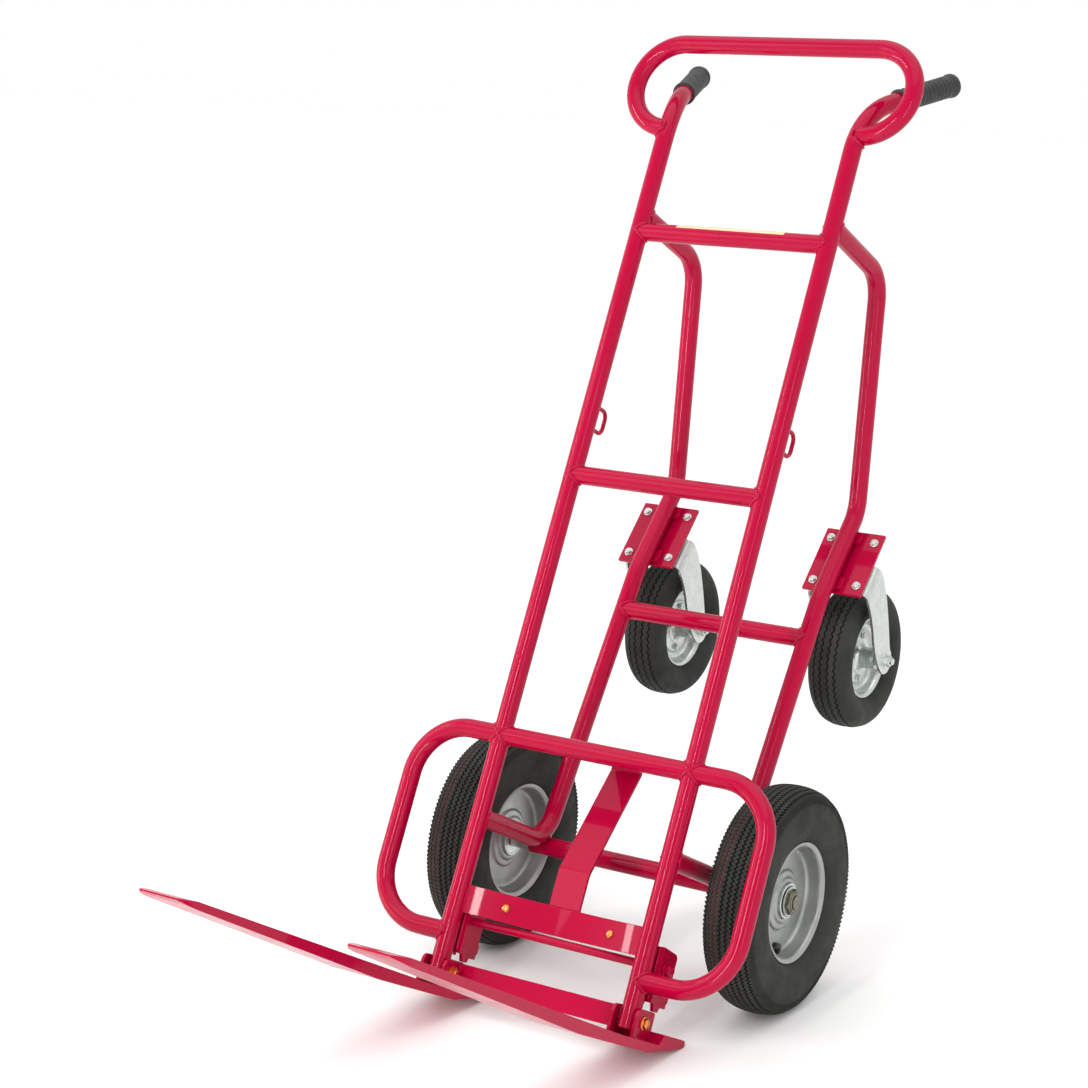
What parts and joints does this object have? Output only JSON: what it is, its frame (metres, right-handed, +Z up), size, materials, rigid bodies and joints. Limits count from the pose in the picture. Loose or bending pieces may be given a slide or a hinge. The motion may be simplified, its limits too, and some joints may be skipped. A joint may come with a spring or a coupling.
{
  "type": "convertible hand truck",
  "caption": "Leaning tubular steel hand truck with folding forks, wheel guards, a handle loop with grips, pneumatic main wheels and rear swivel casters.",
  "frame": {"origin": "centre of the footprint, on the ground the truck stands on", "axes": "+X to the right, +Y to the back where the grips and casters are, +Z up; the forks point to -Y"},
  "size_m": [0.7548, 1.7132, 1.6821],
  "materials": {
    "red_paint": "glossy powder coat",
    "zinc": "bright zinc plate",
    "yellow_zinc": "yellow passivated zinc plate",
    "rim_paint": "satin silver paint",
    "tyre_rubber": "dull rubber with a grey bloom",
    "grip_rubber": "moulded rubber",
    "label_film": "satin film"
  },
  "bodies": {
    "frame": {"left_upright": "red_paint", "right_upright": "red_paint", "handle_loop": "red_paint", "upper_crossbar": "red_paint", "middle_crossbar": "red_paint", "lower_crossbar": "red_paint", "blank_label": "label_film", "left_guard_loop": "red_paint", "right_guard_loop": "red_paint", "left_rear_tube": "red_paint", "right_rear_tube": "red_paint", "rear_crossbar": "red_paint", "axle_tube": "red_paint", "axle": "zinc", "left_axle_nut": "zinc", "right_axle_nut": "zinc", "curved_lower_plate": "red_paint", "left_plate_bolt": "yellow_zinc", "right_plate_bolt": "yellow_zinc", "centre_strap": "red_paint", "left_strap_eye": "red_paint", "right_strap_eye": "red_paint", "left_hinge_bracket": "red_paint", "right_hinge_bracket": "red_paint", "bracket_rod": "red_paint", "left_hinge_bolt": "yellow_zinc", "right_hinge_bolt": "yellow_zinc", "left_grip": "grip_rubber", "right_grip": "grip_rubber", "left_caster_mount": "red_paint", "left_caster_top_plate": "zinc", "left_caster_bolt_1": "zinc", "left_caster_bolt_2": "zinc", "left_caster_bolt_3": "zinc", "left_caster_bolt_4": "zinc", "right_caster_mount": "red_paint", "right_caster_top_plate": "zinc", "right_caster_bolt_1": "zinc", "right_caster_bolt_2": "zinc", "right_caster_bolt_3": "zinc", "right_caster_bolt_4": "zinc"},
    "left_main_wheel": {"left_tyre": "tyre_rubber", "left_rim": "rim_paint", "left_hub": "zinc", "left_valve_stem": "grip_rubber"},
    "left_swivel": {"left_caster_fork": "zinc", "left_caster_axle": "zinc"},
    "left_caster_wheel": {"left_caster_tyre": "tyre_rubber", "left_caster_rim": "rim_paint"},
    "right_main_wheel": {"right_tyre": "tyre_rubber", "right_rim": "rim_paint", "right_hub": "zinc", "right_valve_stem": "grip_rubber"},
    "right_swivel": {"right_caster_fork": "zinc", "right_caster_axle": "zinc"},
    "right_caster_wheel": {"right_caster_tyre": "tyre_rubber", "right_caster_rim": "rim_paint"},
    "forks": {"left_fork": "red_paint", "right_fork": "red_paint", "fork_cross_plate": "red_paint"}
  },
  "joints": [
    {"name": "left_wheel_spin", "type": "hinge", "parent": "frame", "child": "left_main_wheel", "pos_m": [-0.289, 0.21965, 0.203], "axis": [1, 0, 0], "continuous": true},
    {"name": "right_wheel_spin", "type": "hinge", "parent": "frame", "child": "right_main_wheel", "pos_m": [0.289, 0.21965, 0.203], "axis": [1, 0, 0], "continuous": true},
    {"name": "left_caster_swivel", "type": "hinge", "parent": "frame", "child": "left_swivel", "pos_m": [-0.2, 0.61395, 0.72848], "axis": [0, 0.6935, -0.7204], "continuous": true},
    {"name": "left_caster_spin", "type": "hinge", "parent": "left_swivel", "child": "left_caster_wheel", "pos_m": [-0.2, 0.68165, 0.5327], "axis": [1, 0, 0], "continuous": true},
    {"name": "right_caster_swivel", "type": "hinge", "parent": "frame", "child": "right_swivel", "pos_m": [0.2, 0.61395, 0.72848], "axis": [0, 0.6935, -0.7204], "continuous": true},
    {"name": "right_caster_spin", "type": "hinge", "parent": "right_swivel", "child": "right_caster_wheel", "pos_m": [0.2, 0.68165, 0.5327], "axis": [1, 0, 0], "continuous": true},
    {"name": "fork_fold", "type": "hinge", "parent": "frame", "child": "forks", "pos_m": [0, -0.12367, 0.07212], "axis": [-1, 0, 0], "range_deg": [0, 88]}
  ]
}
